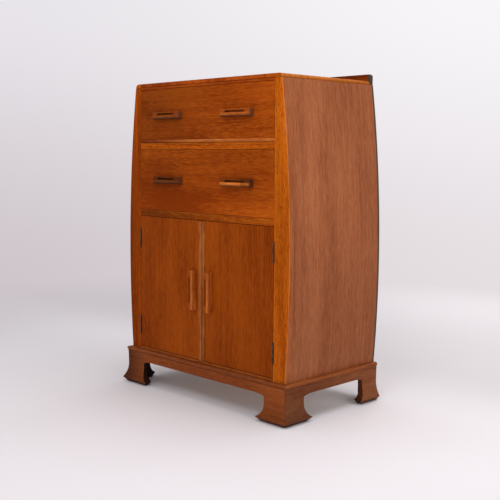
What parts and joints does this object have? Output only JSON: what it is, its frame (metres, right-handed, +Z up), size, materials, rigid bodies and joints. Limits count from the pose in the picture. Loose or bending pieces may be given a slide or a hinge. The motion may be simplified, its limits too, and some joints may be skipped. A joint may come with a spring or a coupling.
{
  "type": "tallboy",
  "caption": "Oak tallboy with bowed sides: two drawers over a cupboard with a pair of doors and a shelf, on a moulded plinth with flared bracket feet.",
  "frame": {"origin": "on the floor, under the middle of the whole piece's width and depth, feet included", "axes": "+X to the right as one faces the front, +Y from the front to the back, +Z up"},
  "size_m": [0.836, 0.494, 1.1417],
  "materials": {
    "oak_side": "straight-grained oak veneer, satin polish",
    "oak_stile": "golden oak with fine flecks, satin polish",
    "oak_rail": "golden oak, satin polish",
    "oak_top": "oak, satin polish",
    "oak_drawer": "figured oak with the grain across, satin polish",
    "oak_door": "oak veneer with the grain upright, satin polish",
    "oak_plinth": "dark stained oak, satin polish",
    "oak_bead": "pale oak, satin polish",
    "oak_handle": "dark oak, polished",
    "oak_inner": "unpolished oak",
    "ply": "plywood, unpolished",
    "brass": "aged brass"
  },
  "bodies": {
    "case": {"side_panel_left": "oak_side", "side_panel_right": "oak_side", "back_upstand": "oak_side", "front_stile_left": "oak_stile", "front_stile_right": "oak_stile", "front_post_left": "oak_rail", "front_post_right": "oak_rail", "top_rail": "oak_rail", "middle_rail": "oak_rail", "lower_rail": "oak_rail", "bottom_board": "oak_rail", "top_board": "oak_top", "rear_post_left": "oak_inner", "rear_post_right": "oak_inner", "cupboard_shelf": "oak_inner", "upper_runner_left": "oak_inner", "upper_runner_right": "oak_inner", "lower_runner_left": "oak_inner", "lower_runner_right": "oak_inner", "plinth_back": "oak_inner", "back_panel": "ply", "upper_dust_board": "ply", "lower_dust_board": "ply", "plinth_front": "oak_plinth", "plinth_left": "oak_plinth", "plinth_right": "oak_plinth", "base_moulding_front": "oak_plinth", "base_moulding_left": "oak_plinth", "base_moulding_right": "oak_plinth", "ball_catch_left": "brass", "ball_catch_right": "brass", "left_lower_frame_leaf": "brass", "left_upper_frame_leaf": "brass", "right_lower_frame_leaf": "brass", "right_upper_frame_leaf": "brass"},
    "upper_drawer": {"upper_drawer_front": "oak_drawer", "upper_drawer_lipping": "oak_bead", "upper_drawer_side_left": "oak_inner", "upper_drawer_side_right": "oak_inner", "upper_drawer_back": "oak_inner", "upper_drawer_bottom": "ply", "upper_drawer_handle_left": "oak_handle", "upper_drawer_handle_right": "oak_handle"},
    "lower_drawer": {"lower_drawer_front": "oak_drawer", "lower_drawer_side_left": "oak_inner", "lower_drawer_side_right": "oak_inner", "lower_drawer_back": "oak_inner", "lower_drawer_bottom": "ply", "lower_drawer_handle_left": "oak_handle", "lower_drawer_handle_right": "oak_handle"},
    "left_door": {"left_door_panel": "oak_door", "left_door_meeting_bead": "oak_bead", "left_door_handle": "oak_handle", "left_lower_door_leaf": "brass", "left_upper_door_leaf": "brass"},
    "right_door": {"right_door_panel": "oak_door", "right_door_meeting_bead": "oak_bead", "right_door_handle": "oak_handle", "right_lower_door_leaf": "brass", "right_upper_door_leaf": "brass"}
  },
  "joints": [
    {"name": "upper_drawer_slide", "type": "slide", "parent": "case", "child": "upper_drawer", "axis": [0, -1, 0], "range_m": [0, 0.34]},
    {"name": "lower_drawer_slide", "type": "slide", "parent": "case", "child": "lower_drawer", "axis": [0, -1, 0], "range_m": [0, 0.34]},
    {"name": "left_door_hinge", "type": "hinge", "parent": "case", "child": "left_door", "pos_m": [-0.3386, -0.2214, 0.389], "axis": [0, 0, -1], "range_deg": [0, 180]},
    {"name": "right_door_hinge", "type": "hinge", "parent": "case", "child": "right_door", "pos_m": [0.3386, -0.2214, 0.389], "axis": [0, 0, 1], "range_deg": [0, 180]}
  ]
}
